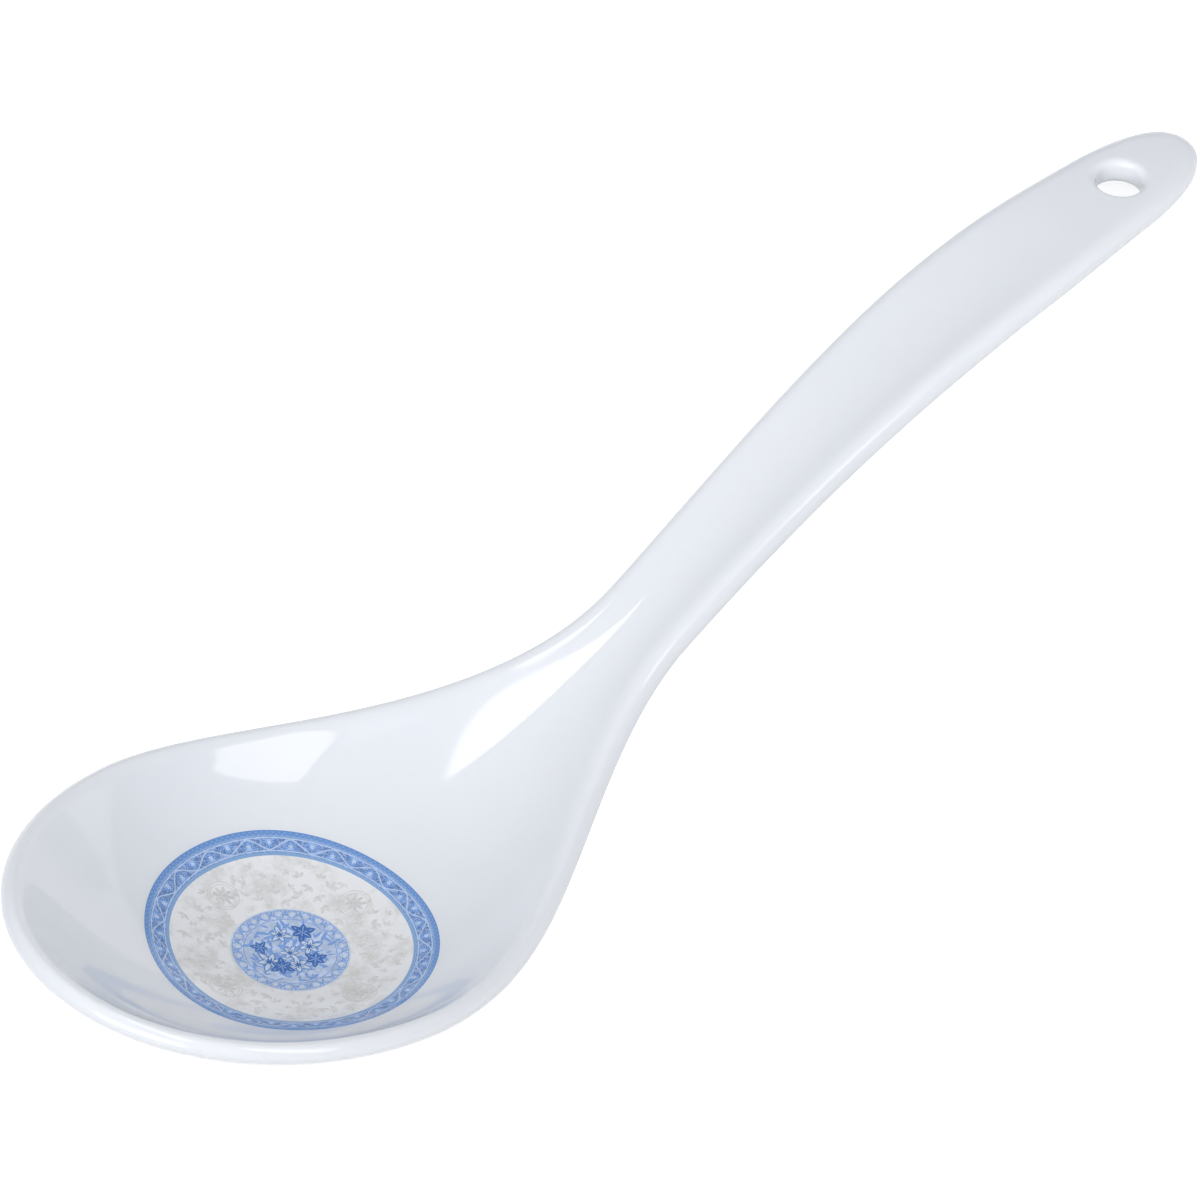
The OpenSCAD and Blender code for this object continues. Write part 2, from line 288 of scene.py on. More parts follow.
def add_node(tree, kind, inputs=None, **settings):
    """Adds a node; inputs are given by name or number."""
    made = tree.nodes.new(kind)
    for key, value in settings.items():
        setattr(made, key, value)
    for key, value in (inputs or {}).items():
        feed(tree, value, made.inputs[key])
    return made


def work(operation, *values):
    """Works a sum out, or adds the node that does if a value is a field."""
    tree = next((v.tree for v in values if isinstance(v, Field)), None)
    if tree is None:
        return PLAIN_WORK[operation](*values)
    node = tree.nodes.new("ShaderNodeMath")
    node.operation = operation
    for value, socket in zip(values, node.inputs):
        feed(tree, value, socket)
    return Field(tree, node.outputs[0])


def power(a, b):
    return work("POWER", a, b)


def least(a, b):
    return work("MINIMUM", a, b)


def most(a, b):
    return work("MAXIMUM", a, b)


def clamp(a):
    return least(most(a, 0.0), 1.0)


def ease(a):
    t = clamp(a)
    return t * t * (3 - 2 * t)


def bend(u, r):
    """A straight line that starts at 0 with a smooth bend, r long each way."""
    t = clamp((u + r) / (2 * r))
    return 2 * r * (power(t, 3.0) - power(t, 4.0) / 2) + most(u - r, 0.0)


def bulge(share, exponent):
    """How far a rounded end has filled out, from 0 at its point to 1."""
    left = most(1 - most(share, 0.0), 0.0)
    return power(most(1 - power(left, exponent), 0.0), 1 / exponent)


# The rule of the eating face


def shoulder(x, s):
    return clamp((x - s.shoulder_at) / (s.neck_at - s.shoulder_at))


def half_width(x, s):
    """Half the width between the rim lines."""
    width = (
        s.neck_w
        + (s.mouth_w - s.neck_w) * (1 - ease(power(shoulder(x, s), s.shoulder_skew)))
        + (s.grip_w - s.neck_w) * ease((x - s.neck_at) / (s.grip_at - s.neck_at))
        - (s.grip_w - s.tip_w) * ease((x - s.grip_at) / (s.rim_len - s.grip_at))
    )
    front = bulge(x / s.front_round, s.front_power)
    return width / 2 * front * bulge((s.rim_len - x) / s.tip_round, s.tip_power)


def face_height(x, y, s):
    """Height of the eating face over the floor of the bowl."""
    fall = work("TANGENT", s.rim_fall)
    climb = work("TANGENT", s.neck_climb)
    level_off = climb - work("TANGENT", s.grip_climb)
    over = level_off * bend(x - s.grip_bend_at, s.grip_bend_r)
    turn = (climb + fall) * bend(x - s.neck_bend_at, s.neck_bend_r)
    edge = s.front_h - fall * x + turn - over
    floor_at = (s.grip_dish - s.front_h + (climb + fall) * s.neck_bend_at) / climb
    dish_end = s.rim_len - s.tip_round - s.grip_bend_at
    floor = (
        s.front_h * power(most(1 - x / s.front_wall_len, 0.0), s.wall_power)
        + climb * bend(x - floor_at, s.floor_bend_r)
        - over
        + s.grip_dish * ease((x - s.grip_bend_at) / dish_end)
    )
    u = least(work("ABSOLUTE", y) / most(half_width(x, s), MM * MM), 1.0)
    c = power(clamp(floor / edge), 2 / s.dish_power)
    return edge * power(c + (1 - c) * u * u, s.dish_power / 2)


# Node trees

SOCKETS = {float: "NodeSocketFloat", int: "NodeSocketInt", Vector: "NodeSocketVector"}


class Tree:
    """A geometry node tree in the making, with named inputs and their values."""

    def __init__(self, name, inputs, outputs):
        self.nodes = bpy.data.node_groups.new(name, "GeometryNodeTree")
        for label, value in inputs.items():
            kind = SOCKETS.get(type(value), "NodeSocketMaterial")
            socket = self.nodes.interface.new_socket(
                name=label, in_out="INPUT", socket_type=kind
            )
            socket.default_value = value
        for label, kind in outputs.items():
            self.nodes.interface.new_socket(
                name=label, in_out="OUTPUT", socket_type=kind
            )
        self.entry = self.nodes.nodes.new("NodeGroupInput")
        self.exit = self.nodes.nodes.new("NodeGroupOutput")

    def __getitem__(self, label):
        return Field(self.nodes, self.entry.outputs[label])

    def sizes(self, group, keys):
        """The inputs for some keys of a property group, under those keys."""
        return SimpleNamespace(**{key: self[label_of(group, key)] for key in keys})

    def node(self, kind, inputs=None, **settings):
        return add_node(self.nodes, kind, inputs, **settings)

    def call(self, group, values):
        made = self.node("GeometryNodeGroup", node_tree=group.nodes)
        for label, value in values.items():
            feed(self.nodes, value, made.inputs[label])
        return made

    def axes(self, vector):
        made = self.node("ShaderNodeSeparateXYZ", {0: vector})
        return [Field(self.nodes, socket) for socket in made.outputs]

    def vector(self, x, y, z):
        return self.node("ShaderNodeCombineXYZ", {0: x, 1: y, 2: z}).outputs[0]

    def place(self):
        return self.axes(self.node("GeometryNodeInputPosition").outputs[0])

    def move(self, geometry, x, y, z):
        made = self.node(
            "GeometryNodeSetPosition",
            {"Geometry": geometry, "Position": self.vector(x, y, z)},
        )
        return made.outputs[0]

    def tilted(self, geometry, place, tilt):
        made = self.node(
            "GeometryNodeTransform",
            {
                "Geometry": geometry,
                "Translation": place,
                "Rotation": self.vector(0.0, tilt, 0.0),
            },
        )
        return made.outputs[0]

    def give(self, **results):
        for label, value in results.items():
            feed(self.nodes, value, self.exit.inputs[label])

    def join(self, *parts):
        made = self.node("GeometryNodeJoinGeometry")
        for part in parts:
            self.nodes.links.new(part, made.inputs[0])
        return made.outputs[0]

    def index(self):
        return Field(self.nodes, self.node("GeometryNodeInputIndex").outputs[0])

    def chance(self, low, high, seed):
        made = self.node(
            "FunctionNodeRandomValue", {2: low, 3: high, "Seed": seed}, data_type="FLOAT"
        )
        return Field(self.nodes, made.outputs[1])

    def any_turn(self, seed):
        return self.chance(0.0, FULL_TURN, seed)

    def turns(self, number, first=0.0):
        """Equal shares of a full turn, one for each point."""
        return (self.index() + first) / number * FULL_TURN

    def spots(self, number, radius, angle):
        """Points on the disc, by radius and angle."""
        line = self.node(
            "GeometryNodeMeshLine", {"Count": number, "Offset": (0.0, 0.0, 0.0)}
        )
        x = radius * work("COSINE", angle)
        return self.move(line.outputs[0], x, radius * work("SINE", angle), 0.0)

    def scatter(self, points, shape, turn, size=1.0):
        made = self.node(
            "GeometryNodeInstanceOnPoints",
            {
                "Points": points,
                "Instance": shape,
                "Rotation": self.vector(0.0, 0.0, turn),
                "Scale": self.vector(size, size, 1.0),
            },
        )
        real = self.node("GeometryNodeRealizeInstances", {0: made.outputs[0]})
        return real.outputs[0]

    def ribbon(self, curve, width):
        """A flat strip of ink along a curve that lies level."""
        level = self.node("GeometryNodeSetCurveNormal", {0: curve}, mode="Z_UP")
        profile = self.node(
            "GeometryNodeCurvePrimitiveQuadrilateral",
            {"Width": width, "Height": self["Relief"]},
        )
        strip = self.node(
            "GeometryNodeCurveToMesh",
            {
                "Curve": level.outputs[0],
                "Profile Curve": profile.outputs[0],
                "Fill Caps": True,
            },
        )
        return strip.outputs["Mesh"]

    def ring(self, steps, radius, width):
        """A strip round the middle whose radius follows a rule."""
        circle = self.node("GeometryNodeMeshCircle", {"Vertices": steps, "Radius": 1.0})
        x, y, _ = self.place()
        shaped = self.move(circle.outputs[0], x * radius, y * radius, 0.0)
        curve = self.node("GeometryNodeMeshToCurve", {"Mesh": shaped})
        return self.ribbon(curve.outputs[0], width)

    def leaf(self, size, width, base=1.0, tip=1.0):
        """A flat leaf that grows from the middle along x; higher powers are sharper."""
        disc = self.node(
            "GeometryNodeMeshCylinder",
            {"Vertices": 14, "Radius": 1.0, "Depth": self["Relief"]},
        )
        x, y, z = self.place()
        shape = power(most((x + 1) / 2, 0.0), base / 2)
        shape = shape * power(most((1 - x) / 2, 0.0), tip / 2) * 2
        return self.move(disc.outputs["Mesh"], (x + 1) / 2 * size, y * shape * width / 2, z)

    def wheel(self, number, leaf, first=0.0):
        """Leaves set round the middle, as the petals of a blossom."""
        points = self.spots(number, 0.0, 0.0)
        return self.scatter(points, leaf, self.turns(number) + first)

    def fan(self, number, leaf, step):
        """Leaves that spread about x from the middle, a step apart."""
        points = self.spots(number, 0.0, 0.0)
        return self.scatter(points, leaf, (self.index() - (number - 1) / 2) * step)


def spoon_face_tree(spoon):
    """The height of the eating face, as a group for the other trees."""
    inputs = {"Along": 0.0, "Across": 0.0, **numbers(spoon.face, FACE_KEYS)}
    tree = Tree("Eating face", inputs, {"Height": "NodeSocketFloat"})
    sizes = tree.sizes(spoon.face, FACE_KEYS)
    tree.give(Height=face_height(tree["Along"], tree["Across"], sizes))
    return tree


class Face:
    """The eating face inside another tree, which has the face's sizes as inputs."""

    def __init__(self, tree, spoon, group):
        self.tree = tree
        self.group = group
        self.sizes = tree.sizes(spoon.face, FACE_KEYS)
        self.links = {label_of(spoon.face, k): getattr(self.sizes, k) for k in FACE_KEYS}

    def height(self, x, y):
        made = self.tree.call(self.group, {"Along": x, "Across": y, **self.links})
        return Field(self.tree.nodes, made.outputs[0])

    def normal(self, x, y):
        dx = (self.height(x - PROBE, y) - self.height(x + PROBE, y)) / (2 * PROBE)
        dy = (self.height(x, y - PROBE) - self.height(x, y + PROBE)) / (2 * PROBE)
        return unit(self.tree, dx, dy, 1.0)


def unit(tree, x, y, z):
    made = tree.node(
        "ShaderNodeVectorMath", {0: tree.vector(x, y, z)}, operation="NORMALIZE"
    )
    return tree.axes(made.outputs[0])


def closed_grid(tree, columns, rows):
    """A unit grid with its two shares as fields: round the piece and along its skin."""
    grid = tree.node(
        "GeometryNodeMeshGrid",
        {"Size X": 1.0, "Size Y": 1.0, "Vertices X": columns, "Vertices Y": rows},
    )
    x, y, _ = tree.place()
    return grid.outputs["Mesh"], x + 0.5, y + 0.5


def weld(tree, geometry):
    """Closes the seams of a grid and drops what its poles leave behind."""
    closed = tree.node(
        "GeometryNodeMergeByDistance", {"Geometry": geometry, "Distance": MM * MM}
    )
    faces = tree.node("GeometryNodeInputMeshEdgeNeighbors").outputs["Face Count"]
    clean = tree.node(
        "GeometryNodeDeleteGeometry",
        {
            "Geometry": closed.outputs[0],
            "Selection": work("LESS_THAN", Field(tree.nodes, faces), 0.5),
        },
        domain="EDGE",
    )
    return clean.outputs[0]


DISC_STEPS = 36


def sheet_inputs(spoon):
    """The inputs of a printed sheet, set as for the whole disc."""
    return {
        **numbers(spoon.face, FACE_KEYS),
        "Disc at": spoon.print.foil_at,
        "Inner radius": 0.0,
        "Outer radius": spoon.print.foil_r,
        "Top": 0.0,
        "Bottom": spoon.print.ink_t,
        "Steps round": spoon.print.round_steps,
        "Steps across": DISC_STEPS,
    }


def sheet_tree(spoon, face_group):
    """A thin disc or ring that follows the eating face, closed all round."""
    inputs = sheet_inputs(spoon)
    tree = Tree("Printed sheet", inputs, {"Geometry": "NodeSocketGeometry"})
    face = Face(tree, spoon, face_group)
    skin_steps = 2 * tree["Steps across"] + 2
    mesh, turn, skin = closed_grid(tree, tree["Steps round"] + 1, skin_steps + 1)
    step = skin * skin_steps
    across = tree["Steps across"]
    out = clamp(step / across) - clamp((step - across - 1) / across)
    down = clamp(step - across) - clamp(step - 2 * across - 1)
    radius = tree["Inner radius"] + (tree["Outer radius"] - tree["Inner radius"]) * out
    angle = (1 - turn) * FULL_TURN
    x = tree["Disc at"] + radius * work("COSINE", angle)
    y = radius * work("SINE", angle)
    depth = tree["Top"] + (tree["Bottom"] - tree["Top"]) * down
    mesh = tree.move(mesh, x, y, face.height(x, y) - depth)
    tree.give(Geometry=weld(tree, mesh))
    return tree


def laid_down(tree, geometry, material):
    """Lays a piece down as the spoon rests, realized and with its material."""
    laid = tree.tilted(geometry, tree["Rest place"], tree["Rest tilt"])
    smooth = tree.node("GeometryNodeSetShadeSmooth", {"Geometry": laid})
    real = tree.node("GeometryNodeRealizeInstances", {"Geometry": smooth.outputs[0]})
    dressed = tree.node(
        "GeometryNodeSetMaterial",
        {"Geometry": real.outputs[0], "Material": material},
    )
    tree.give(Geometry=dressed.outputs[0])


def rest_inputs(spoon):
    tilt, place = rest_pose(spoon)
    return {"Rest tilt": tilt, "Rest place": place}


def moulding_skin(tree, face, mould):
    """The whole skin of the moulding as one grid: face, rounded edge and underside."""
    s = face.sizes
    turn_probe = 0.01
    inset_share = 0.985
    skin_steps = 2 * mould.face_steps + mould.edge_steps
    mesh, turn, skin = closed_grid(tree, 2 * mould.side_steps + 1, skin_steps + 1)

    def outline(angle):
        x = s.rim_len * (1 - work("COSINE", angle)) / 2
        return x, half_width(x, s) * work("SIGN", work("SINE", angle))

    angle = turn * FULL_TURN
    rim_x, rim_y = outline(angle)
    middle_x = least(most(rim_x, s.front_round), s.rim_len - s.tip_round)
    step = skin * skin_steps
    edge_step = step - mould.face_steps
    back_step = edge_step - mould.edge_steps
    out = clamp(step / mould.face_steps) - clamp(back_step / mould.face_steps)
    x = middle_x + (rim_x - middle_x) * out
    y = rim_y * out
    inset = least(out, inset_share)
    inset_x = middle_x + (rim_x - middle_x) * inset
    nx, ny, nz = face.normal(inset_x, rim_y * inset)

    before_x, before_y = outline(angle - turn_probe)
    after_x, after_y = outline(angle + turn_probe)
    flat_x, flat_y, _ = unit(tree, before_y - after_y, after_x - before_x, 0.0)
    lean = flat_x * nx + flat_y * ny
    out_x, out_y, out_z = unit(
        tree, flat_x - lean * nx, flat_y - lean * ny, (0 - lean) * nz
    )
    half_turn = clamp(edge_step / mould.edge_steps) * math.pi
    cosine = work("COSINE", half_turn)
    round_power = 2 / mould.edge_power
    lift = work("SIGN", cosine) * power(work("ABSOLUTE", cosine), round_power) - 1
    reach = power(most(work("SINE", half_turn), 0.0), round_power) * mould.edge_reach
    thickness = mould.wall_t + (mould.handle_t - mould.wall_t) * ease(shoulder(x, s))
    rise = thickness / 2 * lift
    reach = thickness * reach
    mesh = tree.move(
        mesh,
        x + rise * nx + reach * out_x,
        y + rise * ny + reach * out_y,
        face.height(x, y) + rise * nz + reach * out_z,
    )
    return weld(tree, mesh)


def hole_cutter(tree, mould):
    """A round cutter that flares at both ends, which rounds the hole's edges."""
    overrun = MM
    cutter = tree.node(
        "GeometryNodeMeshCylinder",
        {
            "Vertices": 96,
            "Side Segments": 64,
            "Radius": 1.0,
            "Depth": mould.handle_t + 2 * overrun,
        },
    )
    x, y, z = tree.place()
    edge = mould.hole_edge_r
    past = work("ABSOLUTE", z) - (mould.handle_t / 2 - edge)
    past = least(most(past, 0.0), edge)
    radius = mould.hole_r + edge - work("SQRT", edge * edge - past * past)
    shaped = tree.move(cutter.outputs["Mesh"], x * radius, y * radius, z)
    return tree.tilted(shaped, tree["Hole place"], tree["Hole tilt"])


def moulding_tree(spoon, face_group, sheet_group):
    tilt, middle = hole_in_moulding(spoon)
    inputs = {
        **numbers(spoon.face, FACE_KEYS),
        **numbers(spoon.mould, MOULDING_KEYS),
        "Disc at": spoon.print.foil_at,
        "Disc radius": spoon.print.foil_r,
        "Pocket depth": spoon.print.foil_t + spoon.print.ink_t,
        "Steps round": spoon.print.round_steps,
        "Hole tilt": tilt,
        "Hole place": middle,
        **rest_inputs(spoon),
        "Melamine": melamine(spoon),
    }
    tree = Tree("Spoon moulding", inputs, {"Geometry": "NodeSocketGeometry"})
    face = Face(tree, spoon, face_group)
    mould = tree.sizes(spoon.mould, MOULDING_KEYS)
    pocket = tree.call(
        sheet_group,
        {
            **face.links,
            "Disc at": tree["Disc at"],
            "Outer radius": tree["Disc radius"],
            "Top": -MM,
            "Bottom": tree["Pocket depth"],
            "Steps round": tree["Steps round"],
            "Steps across": DISC_STEPS,
        },
    )
    cut = tree.node(
        "GeometryNodeMeshBoolean",
        {"Mesh 1": moulding_skin(tree, face, mould)},
        operation="DIFFERENCE",
        solver="EXACT",
    )
    tree.nodes.links.new(pocket.outputs[0], cut.inputs["Mesh 2"])
    tree.nodes.links.new(hole_cutter(tree, mould), cut.inputs["Mesh 2"])
    laid_down(tree, cut.outputs[0], tree["Melamine"])
    return tree


def print_tree(spoon, sheet_group):
    """A printed area or the foil, laid down as the spoon rests."""
    flat = sheet_inputs(spoon)
    inputs = {**flat, **rest_inputs(spoon), "Ink": None}
    tree = Tree("Printed area", inputs, {"Geometry": "NodeSocketGeometry"})
    sheet = tree.call(sheet_group, {label: tree[label] for label in flat})
    laid_down(tree, sheet.outputs[0], tree["Ink"])
    return tree


# The print's ornament

GOLDEN_TURN = math.radians(137.5)
BORDER_LINE_STEPS = 192
LACE_LINE_STEPS = 160


def border_band(tree):
    """Radii between which the vine runs."""
    margin = 0.35 * MM
    return tree["Border inside"] + margin, tree["Edge line inside"] - margin


def vine(tree):
    """The running vine of the border and the line on either side of it."""
    half_wave_steps = 8
    straight_share = 0.25
    gap = 0.16 * MM
    low, high = border_band(tree)
    wave = work("PINGPONG", tree.index() / half_wave_steps, 1.0)
    wave = wave * straight_share + ease(wave) * (1 - straight_share)
    steps = tree["Vine waves"] * (2 * half_wave_steps)
    width = tree["Vine width"]
    return tree.join(
        tree.ring(steps, low + (high - low) * wave, width),
        tree.ring(BORDER_LINE_STEPS, low - gap, width),
        tree.ring(BORDER_LINE_STEPS, high + gap, width),
    )


def in_each_wave(tree, share, shape):
    """Sets a shape in each wave of the vine, facing in and out by turns."""
    low, high = border_band(tree)
    number = tree["Vine waves"] * 2
    angle = tree.index() / tree["Vine waves"] * math.pi
    outward = work("MODULO", tree.index(), 2.0)
    radius = high + (low - high) * outward
    radius = radius + (high - low) * share * (2 * outward - 1)
    points = tree.spots(number, radius, angle)
    return tree.scatter(points, shape, angle + (1 - outward) * math.pi)


def leaf_fans(tree, length_share, width_share):
    """A fan of leaves in each wave of the vine, and a small one over it."""
    size = tree["Leaf length"] * length_share
    width = size * width_share
    fan = tree.fan(7, tree.leaf(size, width), step=0.52)
    sprig = tree.fan(3, tree.leaf(size * 0.55, width * 0.7), step=1.1)
    return tree.join(in_each_wave(tree, 0.06, fan), in_each_wave(tree, 0.58, sprig))


def border_shades(tree):
    return leaf_fans(tree, length_share=1.12, width_share=0.4)


def border_leaves(tree):
    return leaf_fans(tree, length_share=1.0, width_share=0.19)


def border_blossoms(tree):
    """A small pale blossom over the leaves of each wave, and two buds at its foot."""
    size = tree["Leaf length"] * 0.36
    bloom = tree.wheel(5, tree.leaf(size, size * 0.7, base=1.2, tip=0.6))
    buds = tree.fan(2, tree.leaf(size * 0.9, size * 0.45), step=2.4)
    return tree.join(in_each_wave(tree, 0.36, bloom), in_each_wave(tree, 0.05, buds))


def lace(tree):
    """Loops between two rings, round the medallion."""
    low, high = tree["Lace ring inside"], tree["Medallion radius"]
    middle = (low + high) / 2 + 0.05 * MM
    number = tree["Lace loops"]
    turn = tree.turns(number)
    loop = tree.ring(14, radius=(high - low) * 0.34, width=0.13 * MM)
    size = (high - low) * 0.3
    sprig = tree.wheel(3, tree.leaf(size, size * 0.5))
    between = tree.spots(number, middle, tree.turns(number, first=0.5))
    return tree.join(
        tree.scatter(tree.spots(number, middle, turn), loop, 0.0),
        tree.scatter(between, sprig, turn),
        tree.ring(LACE_LINE_STEPS, low + 0.12 * MM, width=0.12 * MM),
        tree.ring(LACE_LINE_STEPS, high - 0.3 * MM, width=0.08 * MM),
    )


def lace_lights(tree):
    """A small pale blossom in each loop of the lace, and its pale outer edge."""
    low, high = tree["Lace ring inside"], tree["Medallion radius"]
    number = tree["Lace loops"]
    turn = tree.turns(number)
    size = (high - low) * 0.2
    bloom = tree.wheel(4, tree.leaf(size, size * 0.6))
    return tree.join(
        tree.scatter(tree.spots(number, (low + high) / 2, turn), bloom, turn),
        tree.ring(LACE_LINE_STEPS, high - 0.13 * MM, width=0.22 * MM),
    )


def strewn(tree, number, reach):
    """Points strewn evenly over a disc, each a golden turn from the last."""
    radius = reach * work("SQRT", (tree.index() + 0.5) / number)
    return tree.spots(number, radius, tree.index() * GOLDEN_TURN + 1.1)


def medallion_stems(tree):
    """Curling stems between the blossoms."""
    more_than_blossoms = 4
    curl = tree.node(
        "GeometryNodeCurveSpiral",
        {
            "Resolution": 26,
            "Rotations": 0.85,
            "Start Radius": 0.35 * MM,
            "End Radius": 1.7 * MM,
            "Height": 0.0,
        },
    )
    strip = tree.ribbon(curl.outputs[0], width=0.2 * MM)
    number = tree["Blossoms"] + more_than_blossoms
    points = strewn(tree, number, reach=tree["Lace ring inside"] * 0.74)
    return tree.scatter(points, strip, tree.any_turn(seed=3))


def medallion_leaves(tree):
    """Pointed leaves strewn between the blossoms."""
    leaf = tree.leaf(1.9 * MM, width=0.56 * MM, base=0.8, tip=1.3)
    reach = tree["Lace ring inside"] * 0.93
    points = strewn(tree, tree["Medallion leaves"], reach)
    size = tree.chance(0.45, 1.15, seed=8)
    return tree.scatter(points, leaf, tree.any_turn(seed=7), size)


def bloom_spots(tree, first, share):
    """Where the dark blossoms or, with another start, the pale ones stand."""
    number = tree["Blossoms"]
    turn = tree.turns(number, first) + 0.5 + tree.chance(-0.3, 0.3, seed=22)
    radius = tree["Lace ring inside"] * share * tree.chance(0.7, 1.15, seed=21)
    return tree.spots(number, radius, turn)


def at_pale_blossoms(tree, drawn):
    """Sets what is drawn in the middle and at each pale blossom round it."""
    points = bloom_spots(tree, first=0.5, share=0.55)
    size = tree.chance(0.85, 1.25, seed=15)
    return tree.join(
        tree.scatter(tree.spots(1, 0.0, 0.0), drawn, turn=0.4, size=0.8),
        tree.scatter(points, drawn, tree.any_turn(seed=14), size),
    )


def at_dark_blossoms(tree, drawn):
    """Sets what is drawn at each dark blossom, each with its own turn and size."""
    points = bloom_spots(tree, first=0.0, share=0.66)
    size = tree.chance(0.75, 1.2, seed=12)
    return tree.scatter(points, drawn, tree.any_turn(seed=11), size)


def lily(tree, length_share, width_share, base=1.0):
    """Six pointed petals, three of them longer than the three between."""
    size = tree["Blossom radius"] * length_share
    width = tree["Blossom radius"] * width_share
    long = tree.leaf(size, width, base)
    short = tree.leaf(size * 0.8, width, base)
    return tree.join(tree.wheel(3, long), tree.wheel(3, short, first=math.pi / 3))


def blossom_rims(tree):
    return at_pale_blossoms(tree, lily(tree, 1.22, 0.56))


def blossom_petals(tree):
    return at_pale_blossoms(tree, lily(tree, 1.1, 0.36, base=1.1))


def blossom_veins(tree):
    """A light vein along each petal of the dark blossoms."""
    return at_dark_blossoms(tree, lily(tree, 0.86, 0.1))


def medallion_blossoms(tree):
    """Ragged dark blossoms, and the dark hearts and veins of the pale ones."""
    size = tree["Blossom radius"]
    inner = tree.leaf(size * 0.62, size * 0.36, base=1.2, tip=0.8)
    bloom = tree.join(lily(tree, 1.05, 0.5, base=0.9), tree.wheel(5, inner))
    stamen = tree.leaf(size * 0.34, size * 0.13)
    heart = tree.join(lily(tree, 0.62, 0.09), tree.wheel(7, stamen))
    return tree.join(at_dark_blossoms(tree, bloom), at_pale_blossoms(tree, heart))


def field_rosettes(tree):
    """Faint ringed blossoms set round the field."""
    low, high = tree["Medallion radius"], tree["Inner line inside"]
    size = tree["Rosette radius"]
    rosette = tree.join(
        tree.ring(40, size, width=0.14 * MM),
        tree.ring(32, size * 0.82, width=0.09 * MM),
        tree.wheel(8, tree.leaf(size * 0.7, size * 0.24, base=1.3, tip=0.8)),
        tree.wheel(5, tree.leaf(size * 0.3, size * 0.2)),
    )
    number = tree["Rosettes"]
    turn = tree.turns(number) + 0.06
    points = tree.spots(number, (low + high) / 2 + 0.4 * MM, turn)
    return tree.scatter(points, rosette, turn)


def field_sprigs(tree):
    """Faint leaves strewn between the rosettes."""
    low = tree["Medallion radius"] + 1.2 * MM
    high = tree["Inner line inside"] - 1.4 * MM
    number = tree["Sprigs"]
    share = (tree.index() + 0.5) / number
    radius = work("SQRT", low * low + (high * high - low * low) * share)
    points = tree.spots(number, radius, tree.index() * GOLDEN_TURN)
    leaf = tree.leaf(1.3 * MM, width=0.6 * MM, base=0.8, tip=1.2)
    size = tree.chance(0.6, 1.15, seed=6)
    return tree.scatter(points, tree.fan(3, leaf, step=1.0), tree.any_turn(seed=5), size)


def ornament_tree(spoon, face_group, name, draw, height, ink):
    """A tree that draws an ornament flat and lays it on the eating face."""
    inputs = {
        **numbers(spoon.face, FACE_KEYS),
        **numbers(spoon.print, ORNAMENT_KEYS),
        "Relief": spoon.print.relief * height,
        **rest_inputs(spoon),
        "Ink": ink,
    }
    tree = Tree(name, inputs, {"Geometry": "NodeSocketGeometry"})
    face = Face(tree, spoon, face_group)
    drawn = draw(tree)
    x, y, z = tree.place()
    x = x + tree["Disc at"]
    laid_down(tree, tree.move(drawn, x, y, face.height(x, y) + z), tree["Ink"])
    return tree


def grow(name, tree, values=None):
    """Runs a tree, with these values in place of its own, and keeps its plain mesh."""
    values = values or {}
    carrier = bpy.data.objects.new(name, bpy.data.meshes.new(name))
    bpy.context.scene.collection.objects.link(carrier)
    modifier = carrier.modifiers.new(tree.nodes.name, "NODES")
    modifier.node_group = tree.nodes
    for item in tree.nodes.interface.items_tree:
        if item.in_out == "INPUT" and item.name in values:
            modifier[item.identifier] = values[item.name]
    bpy.context.view_layer.update()
    graph = bpy.context.evaluated_depsgraph_get()
    mesh = bpy.data.meshes.new_from_object(carrier.evaluated_get(graph), depsgraph=graph)
    bpy.data.objects.remove(carrier)
    if not mesh.polygons:
        raise RuntimeError(f"the tree for {name} made no faces")
    material = next(m for m in mesh.materials if m is not None)
    mesh.materials.clear()
    mesh.materials.append(material)
    mesh.polygons.foreach_set("material_index", [0] * len(mesh.polygons))
    mesh.set_sharp_from_angle(angle=SHARP_ANGLE)
    piece = bpy.data.objects.new(name, mesh)
    bpy.context.scene.collection.objects.link(piece)
    return piece


def ride_on_spoon(piece, slot, *nodes):
    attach(piece, "root")
    if nodes:
        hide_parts(*nodes)


# How the spoon rests, taken from its hanging hole


def hole_in_moulding(spoon):
    """Tilt and middle of the hole while the spoon is level with its floor."""
    sizes = spoon.face
    x = sizes.rim_len - spoon.mould.hole_from_tip
    rise = face_height(x + PROBE, 0.0, sizes) - face_height(x - PROBE, 0.0, sizes)
    tilt = -math.atan2(rise, 2 * PROBE)
    up = Vector((math.sin(tilt), 0.0, math.cos(tilt)))
    top = Vector((x, 0.0, face_height(x, 0.0, sizes)))
    return tilt, top - up * spoon.mould.handle_t / 2


def rest_pose(spoon):
    """Turn and shift that bring the moulding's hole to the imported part's hole."""
    hole = next(m for m in frame["record"]["mounts"] if m["name"] == "hanging_hole")
    tilt, middle = hole_in_moulding(spoon)
    rest_tilt = math.atan2(hole["axis"][0], hole["axis"][2]) - tilt
    turned = Matrix.Rotation(rest_tilt, 3, "Y") @ middle
    return rest_tilt, Vector(hole["pos_m"]) - turned


# Materials


